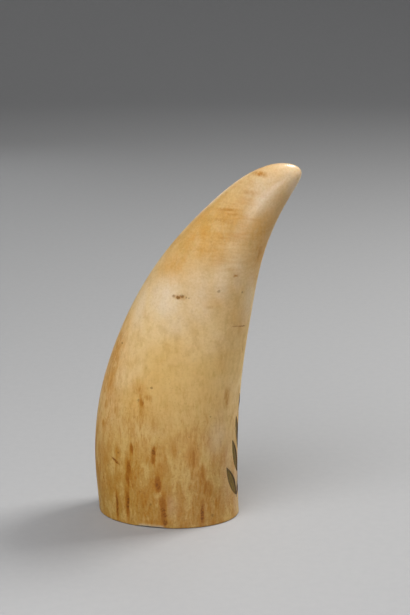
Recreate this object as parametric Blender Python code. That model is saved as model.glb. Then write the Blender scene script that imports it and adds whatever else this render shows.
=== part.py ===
"""Scrimshaw sperm whale tooth that stands on its sawn root. Metres, +Z up, tip leaning towards +X.

The tooth is one closed loft of oval rings. They climb a bent spine from the sawn base to the blunt tip,
and below they turn in over a flat rim and run up the pulp cavity. Two laurel sprays are engraved on the
+Y side, and the rim has one chip. The origin is at the middle of the tooth's footprint box, on the base.
"""

import math

import bmesh
import bpy
from mathutils import Vector

# Form of the tooth: the spine is a Bezier curve, and its handles are shares of the reach and the rise
SPINE_RISE = 0.1346
TIP_REACH = 0.0487
SPINE_HANDLES = ((0.0, 0.0), (-0.054, 0.265), (-0.066, 0.389), (0.411, 0.928), (1.0, 1.0))
TIP_TILT = math.radians(49.3)
TILT_GROWTH = 1.35
TIP_BLUNTNESS = 8.2

# Oval sections, at even steps from the base to the tip, as shares of the base's width and depth
BASE_WIDTH = 0.054
BASE_DEPTH = 0.0392
WIDTH_SHARES = (1.0, 1.020, 0.956, 0.780, 0.504, 0.331)
DEPTH_SHARES = (1.0, 1.035, 1.010, 0.860, 0.600, 0.440)
ENGRAVED_SIDE_FLATNESS = 0.94
EDGE_EASE = 0.0006

# Pulp cavity in the sawn root
RIM_WALL = 0.0095
CAVITY_DEPTH = 0.036
CAVITY_TAPER = 0.72

# Laurel sprays: where each stem runs on the skin, and the leaves on it
FACE_CENTRE = math.radians(70.0)
STEM_FOOT_ANGLE = math.radians(-7.0)
STEM_HEAD_ANGLE = math.radians(56.0)
STEM_FOOT_HEIGHT = 0.0086
STEM_HEAD_HEIGHT = 0.097
STEM_BOW = 1.06
LEAF_PAIRS = 9
OPEN_PAIRS = 2
LEAF_LENGTH = 0.0155
LEAF_WIDTH = 0.0038
LEAF_DEPTH = 0.00045
LEAF_RIB_DEPTH = 0.00025
LEAF_FULLNESS = 0.85
LEAF_SPREAD = math.radians(36.0)
TOP_LEAF_SHARE = 0.62
STEM_GAP = 0.0005

# Chip in the front of the rim
CHIP_ANGLE = math.radians(-98.0)
CHIP_LENGTH = 0.013
CHIP_HEIGHT = 0.0012
CHIP_REACH = 0.0022

# Facets
RING_STEPS = 34
ROUND_STEPS = 56
CAVITY_STEPS = 8
TIP_CROWDING = 1.5
LEAF_STEPS = 7

# Leaf cutters: how far they stand out of the skin, and how much narrower their floor is
CUTTER_ROOF = 0.0008
CUTTER_BRIM = 0.00025
LEAF_FLOOR_SHARE = 0.72

# Step in share and in radians over which slopes are measured
SLOPE_STEP = 1e-4


def smooth_value(values, share):
    """The value at a share from 0 to 1, on a smooth curve through evenly spaced values."""
    last = len(values) - 1
    place = min(max(share, 0.0), 1.0) * last
    low = min(int(place), last - 1)
    part = place - low

    def slope(i):
        before, after = max(i - 1, 0), min(i + 1, last)
        return (values[after] - values[before]) / (after - before)

    square, cube = part**2, part**3
    return (
        (2 * cube - 3 * square + 1) * values[low]
        + (cube - 2 * square + part) * slope(low)
        + (3 * square - 2 * cube) * values[low + 1]
        + (cube - square) * slope(low + 1)
    )


def spine_point(share):
    """The point of the Bezier spine at a share of its run."""
    last = len(SPINE_HANDLES) - 1
    point = Vector((0.0, 0.0, 0.0))
    for i, (reach, rise) in enumerate(SPINE_HANDLES):
        weight = math.comb(last, i) * (1 - share) ** (last - i) * share**i
        point += weight * Vector((reach * TIP_REACH, 0.0, rise * SPINE_RISE))
    return point


def tilt_at(share):
    """How far a section leans over towards the tip."""
    return TIP_TILT * share**TILT_GROWTH


def half_sizes(share):
    """Half the width and half the depth of the section at a share of the spine."""
    cap = math.sqrt(max(0.0, 1.0 - share**TIP_BLUNTNESS))
    half_width = BASE_WIDTH / 2 * smooth_value(WIDTH_SHARES, share) * cap
    half_depth = BASE_DEPTH / 2 * smooth_value(DEPTH_SHARES, share) * cap
    return half_width, half_depth


def oval_point(share, angle, half_width, half_depth):
    """A point of an oval in the section's plane: angle 0 is the tip's side, and 90 degrees the engraved one."""
    tilt = tilt_at(share)
    across = Vector((math.cos(tilt), 0.0, -math.sin(tilt)))
    flatness = ENGRAVED_SIDE_FLATNESS if math.sin(angle) > 0 else 1.0
    sideways = Vector((0.0, half_depth * flatness * math.sin(angle), 0.0))
    return spine_point(share) + across * (half_width * math.cos(angle)) + sideways


def skin_point(share, angle):
    """A point of the tooth's outer surface."""
    return oval_point(share, angle, *half_sizes(share))


def skin_slopes(share, angle):
    """How the skin point moves per unit of share and per radian."""
    up = skin_point(share + SLOPE_STEP, angle) - skin_point(share - SLOPE_STEP, angle)
    around = skin_point(share, angle + SLOPE_STEP) - skin_point(share, angle - SLOPE_STEP)
    return up / (2 * SLOPE_STEP), around / (2 * SLOPE_STEP)


def lifted_point(share, angle, lift):
    """A point above the skin, or in it where the lift is negative."""
    up, around = skin_slopes(share, angle)
    return skin_point(share, angle) + around.cross(up).normalized() * lift


def share_at_height(height):
    """The share of the spine at a height, by halving."""
    low, high = 0.0, 1.0
    for _ in range(40):
        middle = (low + high) / 2
        if spine_point(middle).z < height:
            low = middle
        else:
            high = middle
    return low


def collection_named(name):
    """A new collection in the scene."""
    made = bpy.data.collections.new(name)
    bpy.context.scene.collection.children.link(made)
    return made


def object_from(name, mesh_maker, collection, parent):
    """A named object whose mesh is what mesh_maker filled, with its faces pointing out."""
    shape = bmesh.new()
    mesh_maker(shape)
    bmesh.ops.recalc_face_normals(shape, faces=shape.faces)
    mesh = bpy.data.meshes.new(name)
    shape.to_mesh(mesh)
    shape.free()
    made = bpy.data.objects.new(name, mesh)
    collection.objects.link(made)
    made.parent = parent
    return made


def ring_of(shape, points):
    """Vertices of one ring."""
    return [shape.verts.new(point) for point in points]


def bridge(shape, first, second):
    """Faces between two rings of the same count. A ring of one vertex is an end point."""
    count = max(len(first), len(second))
    for i in range(count):
        after = (i + 1) % count
        corners = []
        for ring, index in ((first, i), (first, after), (second, after), (second, i)):
            corner = ring[index % len(ring)]
            if corner not in corners:
                corners.append(corner)
        shape.faces.new(corners)


def outer_ring_points(share):
    """One ring of the skin, drawn in where the sawn edge is eased."""
    height = spine_point(share).z
    inset = 0.0
    if height < EDGE_EASE:
        inset = EDGE_EASE - math.sqrt(EDGE_EASE**2 - (EDGE_EASE - height) ** 2)
    half_width, half_depth = half_sizes(share)
    return [
        oval_point(share, math.tau * i / ROUND_STEPS, half_width - inset, half_depth - inset)
        for i in range(ROUND_STEPS)
    ]


def cavity_ring_points(depth_share):
    """One ring of the pulp cavity, which narrows to a blunt point along the spine."""
    share = share_at_height(CAVITY_DEPTH * depth_share)
    narrowing = (1 - depth_share) ** CAVITY_TAPER
    half_width = (BASE_WIDTH / 2 - RIM_WALL) * narrowing
    half_depth = (BASE_DEPTH / 2 - RIM_WALL) * narrowing
    return [
        oval_point(share, math.tau * i / ROUND_STEPS, half_width, half_depth)
        for i in range(ROUND_STEPS)
    ]


def tooth_shape(shape):
    """The whole tooth: cavity, rim, skin and tip, as rings bridged in order."""
    eased = [share_at_height(EDGE_EASE * step) for step in (0.25, 1.0)]
    climbing = [1 - (1 - i / RING_STEPS) ** TIP_CROWDING for i in range(1, RING_STEPS)]
    rings = [ring_of(shape, [spine_point(share_at_height(CAVITY_DEPTH))])]
    for i in reversed(range(CAVITY_STEPS)):
        rings.append(ring_of(shape, cavity_ring_points(i / CAVITY_STEPS)))
    for share in [0.0, *eased, *climbing]:
        rings.append(ring_of(shape, outer_ring_points(share)))
    rings.append(ring_of(shape, [spine_point(1.0)]))
    for lower, upper in zip(rings, rings[1:]):
        bridge(shape, lower, upper)


def stem_place(progress, mirrored):
    """Share and angle of the stem at a progress from its foot to its head."""
    height = STEM_FOOT_HEIGHT + (STEM_HEAD_HEIGHT - STEM_FOOT_HEIGHT) * progress
    angle = STEM_FOOT_ANGLE + (STEM_HEAD_ANGLE - STEM_FOOT_ANGLE) * progress**STEM_BOW
    if mirrored:
        angle = 2 * FACE_CENTRE - angle
    return share_at_height(height), angle


def stem_lean(progress, mirrored):
    """The stem's direction on the skin, from straight up, positive towards larger angles."""
    share, angle = stem_place(progress, mirrored)
    next_share, next_angle = stem_place(progress + SLOPE_STEP, mirrored)
    up, around = skin_slopes(share, angle)
    sideways = (next_angle - angle) * around.length
    return math.atan2(sideways, (next_share - share) * up.length)


def leaf_groove(shape, progress, spread, size, mirrored):
    """A sunk leaf with a low midrib that follows the skin: one closed cutter shell."""
    share, angle = stem_place(progress, mirrored)
    heading = stem_lean(progress, mirrored) + spread
    up, around = skin_slopes(share, angle)

    def place(forward, aside, lift):
        sideways = forward * math.sin(heading) + aside * math.cos(heading)
        upwards = forward * math.cos(heading) - aside * math.sin(heading)
        there = (share + upwards / up.length, angle + sideways / around.length)
        return lifted_point(*there, lift)

    rings = [ring_of(shape, [place(STEM_GAP, 0.0, CUTTER_BRIM)])]
    for i in range(1, LEAF_STEPS):
        run = i / LEAF_STEPS
        forward = STEM_GAP + run * LEAF_LENGTH * size
        swell = math.sin(math.pi * run**LEAF_FULLNESS)
        aside = LEAF_WIDTH / 2 * size * swell
        sunk = math.sqrt(swell)
        corners = (
            place(forward, aside, CUTTER_BRIM),
            place(forward, aside * LEAF_FLOOR_SHARE, -LEAF_DEPTH * sunk),
            place(forward, 0.0, -LEAF_RIB_DEPTH * sunk),
            place(forward, -aside * LEAF_FLOOR_SHARE, -LEAF_DEPTH * sunk),
            place(forward, -aside, CUTTER_BRIM),
            place(forward, 0.0, CUTTER_ROOF),
        )
        rings.append(ring_of(shape, corners))
    rings.append(ring_of(shape, [place(STEM_GAP + LEAF_LENGTH * size, 0.0, CUTTER_BRIM)]))
    for lower, upper in zip(rings, rings[1:]):
        bridge(shape, lower, upper)


def spray_grooves(shape):
    """The leaves of both sprays: pairs up each stem, at last on the outer side only, and one at its head."""
    for mirrored in (False, True):
        outward = 1 if mirrored else -1
        for pair in range(LEAF_PAIRS):
            progress = pair / LEAF_PAIRS
            size = 1 - (1 - TOP_LEAF_SHARE) * progress**2
            leaf_groove(shape, progress, outward * LEAF_SPREAD, size, mirrored)
            if pair < LEAF_PAIRS - OPEN_PAIRS:
                leaf_groove(shape, progress, -outward * LEAF_SPREAD, size, mirrored)
        leaf_groove(shape, 1.0, 0.0, TOP_LEAF_SHARE, mirrored)


def chip_cutter(collection, parent):
    """A flattened ball on the rim's front edge."""
    bpy.ops.mesh.primitive_uv_sphere_add(segments=24, ring_count=12, radius=1.0)
    cutter = bpy.context.object
    cutter.name = "chip_cutter"
    cutter.scale = (CHIP_LENGTH / 2, CHIP_REACH / 2, CHIP_HEIGHT / 2)
    bpy.ops.object.transform_apply(location=False, rotation=False, scale=True)
    along = skin_slopes(SLOPE_STEP, CHIP_ANGLE)[1]
    cutter.location = skin_point(0.0, CHIP_ANGLE)
    cutter.rotation_euler.z = math.atan2(along.y, along.x)
    bpy.context.collection.objects.unlink(cutter)
    collection.objects.link(cutter)
    cutter.parent = parent
    return cutter


def cut(target, cutter):
    """Takes the cutter's shape out of the target, and keeps the cutter as a hidden guide."""
    modifier = target.modifiers.new(cutter.name, "BOOLEAN")
    modifier.operation = "DIFFERENCE"
    modifier.object = cutter
    modifier.use_self = True
    cutter.hide_render = True
    cutter.display_type = "WIRE"


def ivory():
    """Polished tooth ivory."""
    material = bpy.data.materials.new("tooth_ivory")
    material.use_nodes = True
    shader = material.node_tree.nodes["Principled BSDF"]
    shader.inputs["Base Color"].default_value = (0.65, 0.46, 0.25, 1.0)
    shader.inputs["Roughness"].default_value = 0.35
    shader.inputs["Metallic"].default_value = 0.0
    return material


def footprint_middle(mesh):
    """The middle of the mesh's box, seen from above."""
    across = [vertex.co.x for vertex in mesh.vertices]
    along = [vertex.co.y for vertex in mesh.vertices]
    return Vector(((min(across) + max(across)) / 2, (min(along) + max(along)) / 2, 0.0))


def main():
    for old in list(bpy.data.objects):
        bpy.data.objects.remove(old)
    parts = collection_named("scrimshaw_tooth")
    cutters = collection_named("cutters")

    placed = bpy.data.objects.new("spine_foot", None)
    parts.objects.link(placed)

    tooth = object_from("whale_tooth", tooth_shape, parts, placed)
    tooth.data.materials.append(ivory())
    tooth.data.shade_smooth()
    tooth.data.set_sharp_from_angle(angle=math.radians(50))
    placed.location = -footprint_middle(tooth.data)

    cut(tooth, object_from("leaf_cutters", spray_grooves, cutters, placed))
    cut(tooth, chip_cutter(cutters, placed))


main()
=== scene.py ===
# Looks of the scrimshaw whale tooth: polished, stained ivory with two engraved laurel sprays and a ship.
#
# The tooth's surface is one fine mesh on the same form as the frame's node: ovals on a bent spine, a flat
# rim and the pulp cavity. Lines and leaves are laid in it as thin pieces of pigment. Metres, +Z up.
# A place on the skin is a share of the spine, from 0 at the base to 1 at the tip, and an angle around it:
# 0 is the side the tip leans to (+X), 90 degrees the engraved side (+Y) and -90 degrees the camera's side.

import math

import bpy
import numpy as np
from mathutils import Matrix, Vector


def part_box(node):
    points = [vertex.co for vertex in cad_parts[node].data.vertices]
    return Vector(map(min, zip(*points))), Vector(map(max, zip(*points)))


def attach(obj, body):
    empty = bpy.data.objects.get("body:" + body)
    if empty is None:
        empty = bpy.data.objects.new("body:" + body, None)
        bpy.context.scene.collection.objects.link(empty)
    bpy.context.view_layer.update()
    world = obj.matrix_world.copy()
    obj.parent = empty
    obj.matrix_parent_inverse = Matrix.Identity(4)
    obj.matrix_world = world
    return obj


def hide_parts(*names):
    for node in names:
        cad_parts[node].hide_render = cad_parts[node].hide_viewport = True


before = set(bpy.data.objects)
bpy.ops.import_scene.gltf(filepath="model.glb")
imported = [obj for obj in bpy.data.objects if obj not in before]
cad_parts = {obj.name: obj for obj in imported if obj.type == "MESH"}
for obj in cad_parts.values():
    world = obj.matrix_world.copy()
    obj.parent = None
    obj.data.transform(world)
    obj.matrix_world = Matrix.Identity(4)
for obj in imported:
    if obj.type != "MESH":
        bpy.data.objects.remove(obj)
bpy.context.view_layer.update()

MM = 0.001

# Form, as in the CAD source
SPINE_RISE = 134.6 * MM
TIP_REACH = 48.7 * MM
SPINE_HANDLES = ((0.0, 0.0), (-0.054, 0.265), (-0.066, 0.389), (0.411, 0.928), (1.0, 1.0))
TIP_TILT = math.radians(49.3)
TILT_GROWTH = 1.35
TIP_BLUNTNESS = 8.2
BASE_WIDTH = 54.0 * MM
BASE_DEPTH = 39.2 * MM
WIDTH_SHARES = (1.0, 1.020, 0.956, 0.780, 0.504, 0.331)
DEPTH_SHARES = (1.0, 1.035, 1.010, 0.860, 0.600, 0.440)
ENGRAVED_SIDE_FLATNESS = 0.94
EDGE_EASE = 0.6 * MM
RIM_WALL = 9.5 * MM
CAVITY_DEPTH = 36.0 * MM
CAVITY_TAPER = 0.72

# Laurel sprays, as in the CAD source
FACE_CENTRE = math.radians(70.0)
STEM_FOOT_ANGLE = math.radians(-7.0)
STEM_HEAD_ANGLE = math.radians(56.0)
STEM_FOOT_HEIGHT = 8.6 * MM
STEM_HEAD_HEIGHT = 97.0 * MM
STEM_BOW = 1.06
LEAF_PAIRS = 9
OPEN_PAIRS = 2
LEAF_LENGTH = 15.5 * MM
LEAF_WIDTH = 3.8 * MM
LEAF_DEPTH = 0.45 * MM
LEAF_RIB_DEPTH = 0.25 * MM
LEAF_FULLNESS = 0.85
LEAF_SPREAD = math.radians(36.0)
TOP_LEAF_SHARE = 0.62
STEM_GAP = 0.5 * MM
LEAF_FLOOR_SHARE = 0.72

# Chip in the front of the rim, as in the CAD source
CHIP_ANGLE = math.radians(-98.0)
CHIP_LENGTH = 13.0 * MM
CHIP_HEIGHT = 1.2 * MM
CHIP_REACH = 2.2 * MM

# The chip's raggedness, and the depths and heights over which its fresh ivory and the painted highlight on
# the lip above it fade
CHIP_RAGGEDNESS = 0.22
CHIP_FRESH_RAMP = (0.05 * MM, 0.5 * MM)
CHIP_LIP_HIGHLIGHT_RAMP = (0.6 * MM, 1.4 * MM)

# Depths of small marks, and how far through the tooth a mark reaches
CRACK_DEPTH = 0.12 * MM
PIT_DEPTH_SHARE = 0.1
MARK_THICKNESS = 6.0 * MM

# Slow unevenness of the polish, the span of its waves' sum, and how far the whole skin is set in.
# Relief fades out below RELIEF_START, so that the tooth stands flat
UNDULATION_DEPTH = 0.13 * MM
WAVES_SPAN = 5.2
SKIN_INSET = 0.01 * MM
RELIEF_START = 1.5 * MM

# Pigment: how far it stands over the skin at most and over the leaves' floors, how much wider than
# it the leaves are cut on each side, and its patches
PIGMENT_LIFT = 0.02 * MM
LEAF_PIGMENT_LIFT = 0.06 * MM
LEAF_CUT_MARGIN = 0.15 * MM
LEAF_PATCH_ROWS = 29
LEAF_PATCH_COLUMNS = 13
LEAF_PATCH_END = 0.015
LEAF_PATCH_SIDE = 0.97
LEAF_TONE_SEED = 7

# Engraved lines
STEM_START = -0.006
STEM_STEPS = 170
STEM_FOOT_LINE = 0.6 * MM
STEM_HEAD_LINE = 0.34 * MM
SHIP_MIDDLE_HEIGHT = 30.0 * MM
LINE_STEP_MM = 0.5
ARC_STEPS = 9
LINE_END_SHARE = 0.55
HULL_LINE_MM = 0.36
MAST_LINE_MM = 0.4
ROPE_LINE_MM = 0.22

# Fineness of the surface
COLUMNS = 320
COLUMN_CROWDING = 0.16
LOWEST_ANGLE = math.radians(-150.0)
EDGE_STEPS = (0.0, 0.08, 0.25, 0.5, 0.75, 1.0)
BODY_ROWS = 236
TIP_ROWS = 36
TIP_RUN = 0.1
RIM_ROWS = 6
CAVITY_ROWS = 14
SLOPE_STEP = 1e-4
HIGHEST_SLOPE_SHARE = 0.9995
SPINE_SAMPLES = 4001

# Camera, fitted to the outline in the photograph, whose frame is 410 by 615 pixels
CAMERA_AZIMUTH = -82.0
CAMERA_ELEVATION = 15.0
CAMERA_DISTANCE = 637.0 * MM
CAMERA_LENS_MM = 100.0
CAMERA_SENSOR_MM = 36.0
CAMERA_CLIP = (0.01, 20.0)
CAMERA_AIM = (13.985 * MM, 0.0, 81.26 * MM)

# Floor: flat around the tooth, then bent up all around
FLOOR_FLAT = 1.1
FLOOR_FLAT_RINGS = 4
FLOOR_BEND = 0.6
FLOOR_BEND_RINGS = 14
FLOOR_BEND_TURN = math.radians(80.0)
FLOOR_SIDES = 96
FLOOR_GAP = 0.02 * MM

# Lights: azimuth from +X towards +Y and elevation in degrees, distance, width and height in metres,
# watts, colour, and whether only matt light or only shine comes from them
LIGHTS_AIM = (0.0, 0.0, 80.0 * MM)
LIGHTS = {
    "key_softbox": (36, 50, 0.95, 0.34, 0.34, 7.8, (1, 0.98, 0.95), "matt"),
    "key_glint": (70, 53, 0.95, 0.3, 0.3, 6.2, (1, 0.98, 0.95), "shine"),
    "front_fill": (-112, 45, 0.6, 0.5, 0.5, 3.3, (1, 0.99, 0.99), "matt"),
    "right_strip": (-67, 5, 0.8, 0.28, 0.22, 3.8, (1, 0.95, 0.93), "shine"),
    "warm_fill": (-30, -4, 0.8, 0.3, 0.3, 0.25, (1, 0.82, 0.62), "matt"),
    "left_rim": (114, 10, 0.85, 0.24, 0.3, 0.4, (0.93, 0.97, 1), "shine"),
}
SKY_COLOR = (0.93, 0.95, 1.0, 1.0)
SKY_STRENGTH = 0.09


def smooth_value(values, share):
    """Values at shares from 0 to 1, on a smooth curve through evenly spaced values."""
    values = np.asarray(values, float)
    last = len(values) - 1
    place = np.clip(share, 0.0, 1.0) * last
    low = np.minimum(place.astype(int), last - 1)
    part = place - low
    slopes = np.gradient(values)
    square, cube = part**2, part**3
    return (
        (2 * cube - 3 * square + 1) * values[low]
        + (cube - 2 * square + part) * slopes[low]
        + (3 * square - 2 * cube) * values[low + 1]
        + (cube - square) * slopes[low + 1]
    )


def ramp(value, low, high):
    """0 below low, 1 above high and a smooth rise between them."""
    part = np.clip((value - low) / (high - low), 0.0, 1.0)
    return part * part * (3 - 2 * part)


def spine_points(share):
    """x and z of the spine."""
    last = len(SPINE_HANDLES) - 1
    x, z = np.zeros_like(share), np.zeros_like(share)
    for i, (reach, rise) in enumerate(SPINE_HANDLES):
        weight = math.comb(last, i) * (1 - share) ** (last - i) * share**i
        x = x + weight * reach * TIP_REACH
        z = z + weight * rise * SPINE_RISE
    return x, z


def half_sizes(share):
    """Half the width and half the depth of the sections."""
    cap = np.sqrt(np.maximum(0.0, 1.0 - share**TIP_BLUNTNESS))
    half_width = BASE_WIDTH / 2 * smooth_value(WIDTH_SHARES, share) * cap
    half_depth = BASE_DEPTH / 2 * smooth_value(DEPTH_SHARES, share) * cap
    return half_width, half_depth


def oval_points(share, angle, half_width, half_depth):
    """Points of ovals in the planes of the sections, in the tooth's own frame."""
    x, z = spine_points(share)
    tilt = TIP_TILT * share**TILT_GROWTH
    across = half_width * np.cos(angle)
    flatness = np.where(np.sin(angle) > 0, ENGRAVED_SIDE_FLATNESS, 1.0)
    return np.stack(
        [
            x + np.cos(tilt) * across,
            half_depth * flatness * np.sin(angle),
            z - np.sin(tilt) * across,
        ],
        axis=-1,
    )


def skin_points(share, angle):
    """Points of the smooth outer surface."""
    share, angle = np.broadcast_arrays(np.asarray(share, float), np.asarray(angle, float))
    return oval_points(share, angle, *half_sizes(share))


def skin_slopes(share, angle):
    """How skin points move per unit of share and per radian."""
    up = skin_points(share + SLOPE_STEP, angle) - skin_points(share - SLOPE_STEP, angle)
    around = skin_points(share, angle + SLOPE_STEP) - skin_points(share, angle - SLOPE_STEP)
    return up / (2 * SLOPE_STEP), around / (2 * SLOPE_STEP)


def unit(vectors):
    """Vectors of length 1."""
    return vectors / np.maximum(np.linalg.norm(vectors, axis=-1, keepdims=True), 1e-12)


def skin_normals(share, angle):
    """Outward normals of the smooth skin."""
    up, around = skin_slopes(np.clip(share, 2 * SLOPE_STEP, HIGHEST_SLOPE_SHARE), angle)
    return unit(np.cross(around, up))


def share_at_height(height):
    """The share of the spine at a height."""
    shares = np.linspace(0.0, 1.0, SPINE_SAMPLES)
    return np.interp(height, spine_points(shares)[1], shares)


def stem_place(progress, mirrored):
    """Share and angle of a spray's stem from its foot to its head."""
    progress = np.asarray(progress, float)
    height = STEM_FOOT_HEIGHT + (STEM_HEAD_HEIGHT - STEM_FOOT_HEIGHT) * progress
    bow = np.sign(progress) * np.abs(progress) ** STEM_BOW
    angle = STEM_FOOT_ANGLE + (STEM_HEAD_ANGLE - STEM_FOOT_ANGLE) * bow
    if mirrored:
        angle = 2 * FACE_CENTRE - angle
    return share_at_height(height), angle


def lengths_at(share, angle):
    """Metres per unit of share and per radian at a place."""
    up, around = skin_slopes(share, angle)
    return np.linalg.norm(up, axis=-1), np.linalg.norm(around, axis=-1)


def stem_lean(progress, mirrored):
    """The stem's direction, from straight up, positive towards larger angles."""
    step = 1e-3
    share, angle = stem_place(progress, mirrored)
    next_share, next_angle = stem_place(progress + step, mirrored)
    per_share, per_angle = lengths_at(share, angle)
    return math.atan2((next_angle - angle) * per_angle, (next_share - share) * per_share)


class Leaf:
    """One engraved leaf: where its foot is, which way it points and how large it is."""

    def __init__(self, progress, spread, size, mirrored):
        self.share, self.angle = (float(value) for value in stem_place(progress, mirrored))
        self.heading = stem_lean(progress, mirrored) + spread
        self.length = LEAF_LENGTH * size
        self.width = LEAF_WIDTH * size
        self.per_share, self.per_angle = lengths_at(self.share, self.angle)

    def place(self, run, across):
        """Share and angle of a point: run 0 to 1 along the leaf, across -1 to 1 of its half width."""
        forward = STEM_GAP + run * self.length
        aside = across * self.half_width(run)
        sideways = forward * math.sin(self.heading) + aside * math.cos(self.heading)
        upwards = forward * math.cos(self.heading) - aside * math.sin(self.heading)
        return self.share + upwards / self.per_share, self.angle + sideways / self.per_angle

    def half_width(self, run):
        """Half the leaf's width along its run."""
        return self.width / 2 * self.swell(run)

    def swell(self, run):
        """0 at both ends and 1 where the leaf is widest."""
        return np.sin(math.pi * np.clip(run, 0.0, 1.0) ** LEAF_FULLNESS)

    def lift(self, run, across):
        """Height of the cut leaf's floor, below the skin, with a low midrib and sloping walls."""
        sunk = np.sqrt(np.maximum(self.swell(run), 0.0))
        side = np.abs(across)
        floor = LEAF_RIB_DEPTH + (LEAF_DEPTH - LEAF_RIB_DEPTH) * np.minimum(side / LEAF_FLOOR_SHARE, 1.0)
        wall = 1 - ramp(side, LEAF_FLOOR_SHARE, 1.0)
        return -floor * wall * sunk

    def lift_at(self, share, angle):
        """The leaf's cut at any places of the skin, 0 outside it."""
        upwards = (share - self.share) * self.per_share
        sideways = (angle - self.angle) * self.per_angle
        forward = sideways * math.sin(self.heading) + upwards * math.cos(self.heading)
        aside = sideways * math.cos(self.heading) - upwards * math.sin(self.heading)
        run = (forward - STEM_GAP) / self.length
        inside = (run > 0.0) & (run < 1.0)
        half = np.maximum(self.half_width(run), 1e-6) + LEAF_CUT_MARGIN
        return np.where(inside, self.lift(run, np.clip(aside / half, -1.0, 1.0)), 0.0)


def all_leaves():
    """The leaves of both sprays: pairs up each stem, single near its top, and one at its head."""
    leaves = []
    for mirrored in (False, True):
        outward = 1 if mirrored else -1
        for pair in range(LEAF_PAIRS):
            progress = pair / LEAF_PAIRS
            size = 1 - (1 - TOP_LEAF_SHARE) * progress**2
            leaves.append(Leaf(progress, outward * LEAF_SPREAD, size, mirrored))
            if pair < LEAF_PAIRS - OPEN_PAIRS:
                leaves.append(Leaf(progress, -outward * LEAF_SPREAD, size, mirrored))
        leaves.append(Leaf(1.0, 0.0, TOP_LEAF_SHARE, mirrored))
    return leaves


class Mark:
    """One age mark on the skin: an upright spindle, its height, length and width in millimetres."""

    def __init__(self, angle, height, length, width, strength=1.0, lean=0.0):
        angle = math.radians(angle)
        shares = np.linspace(0.0, 0.999, 1000)
        share = np.interp(height * MM, skin_points(shares, angle)[:, 2], shares)
        self.middle = skin_points(share, angle)
        self.normal = skin_normals(share, angle)
        level = unit(np.cross((0.0, 0.0, 1.0), self.normal))
        upright = np.cross(self.normal, level)
        lean = math.radians(lean)
        self.along = upright * math.cos(lean) + level * math.sin(lean)
        self.across = level * math.cos(lean) - upright * math.sin(lean)
        self.half_length = length * MM / 2
        self.half_width = width * MM / 2
        self.strength = strength

    def amount(self, points):
        """How strongly points of the skin are marked, from 0 to the mark's strength."""
        away = points - self.middle
        along = away @ self.along / self.half_length
        across = away @ self.across / self.half_width
        through = away @ self.normal / MARK_THICKNESS
        return self.strength * np.exp(-(np.abs(along) ** 3) - across**2 - through**4)

    def turn(self):
        """The rotation from the mark's own axes (across, along, out) to the tooth's."""
        return Matrix(np.stack([self.across, self.along, self.normal], axis=1).tolist()).to_euler()


def strongest(marks, points):
    """The strongest of several marks at points of the skin."""
    most = np.zeros(points.shape[:-1])
    for mark in marks:
        most = np.maximum(most, mark.amount(points))
    return most


# Stains on the camera's side. Angle in degrees, height, length and width in millimetres, and strength.
STAINS = (
    (-108.5, 49, 5.5, 2.2, 0.7),
    (-107.5, 45.5, 7, 2.2, 0.55),
    (-103.8, 51.2, 2.6, 4, 0.5),
    (-111.8, 53, 6, 2.4, 0.55),
    (-117, 54, 6, 4, 0.35),
    (-146, 36, 16, 2.4, 0.4),
    (-137, 38, 12, 2, 0.35),
    (-124, 36, 9, 1.6, 0.35),
    (-111.7, 31, 5.5, 2.2, 0.9),
    (-93.6, 29.2, 9, 2, 0.9),
    (-114.5, 20.5, 12, 2.6, 0.95),
    (-117.3, 8.5, 14, 2.2, 0.95),
    (-128.3, 8, 15, 1.6, 0.8),
    (-89.7, 17.8, 8.5, 3.2, 1),
    (-86.6, 8, 16, 3.2, 0.9),
    (-98, 2.4, 1.8, 12, 0.5),
    (-54.5, 6, 13, 2.6, 0.85),
    (-49, 15, 8, 5, 0.7),
    (-53.4, 20, 10, 3.4, 0.6),
    (-61.8, 28.5, 11, 4.4, 0.65),
    (-75.7, 29.5, 8, 3.4, 0.4),
    (-100.3, 33, 6, 2, 0.4),
    (-77.5, 32, 6, 2.4, 0.35),
    (-32.5, 49.5, 10, 3.4, 0.52),
    (-7.5, 49, 6, 1.4, 0.45),
    (-47, 8, 11, 7, 0.4),
    (-70, 10, 14, 8, 0.32),
    (-97, 10, 12, 7, 0.32),
    (-40, 9, 10, 2, 0.45),
    (-45, 66, 24, 9, 0.25),
    (-154, 60, 38, 12, 0.46),
    (-134, 100.5, 10, 12, 0.22),
    (-50, 50, 22, 12, 0.18),
    (-27.6, 104.1, 6, 3.6, 0.45),
    (-111.3, 109.8, 4, 1.4, 0.3),
    (-97.8, 110.1, 5, 1.4, 0.32),
    (-104, 107.6, 2, 4, 0.3),
    (-58, 96.7, 1, 2.2, 0.7),
    (-108, 89, 2, 6, 0.5),
    (-103, 88.4, 1.6, 3, 0.3),
    (-72.5, 85.6, 1.6, 7, 0.3),
    (-147, 133.2, 3, 8, 0.6),
    (-119, 120.6, 1.2, 8, 0.45),
    (-126, 120.5, 1.4, 9, 0.42),
    (-108, 119, 1.4, 8, 0.36),
    (-121, 116.8, 1.8, 18, 0.36),
    (-114, 126.8, 2.2, 10, 0.34),
)

# Warm, golden zones and paler zones, in the same way. Some of each are painted light, as noted at them
WARM_ZONES_AND_PAINTED_LIGHT = (
    (-155, 60, 44, 14, 0.8),
    (-148, 68, 24, 7, 0.55),
    (-133, 100, 14, 15, 0.8),
    (-128, 113, 24, 24, 0.75),
    (-104, 118, 18, 18, 0.6),
    # Painted light: this golden zone brightens the upper right of the camera's side
    (-38, 110, 34, 16, 0.9),
    (-72, 87, 3, 10, 0.45),
    (-36, 80, 12, 9, 0.5),
    (-112, 52, 16, 8, 0.5),
    (-60, 28, 16, 10, 0.45),
    (80, 90, 30, 14, 0.5),
    (150, 112, 20, 14, 0.6),
    (200, 60, 40, 14, 0.5),
)

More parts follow.
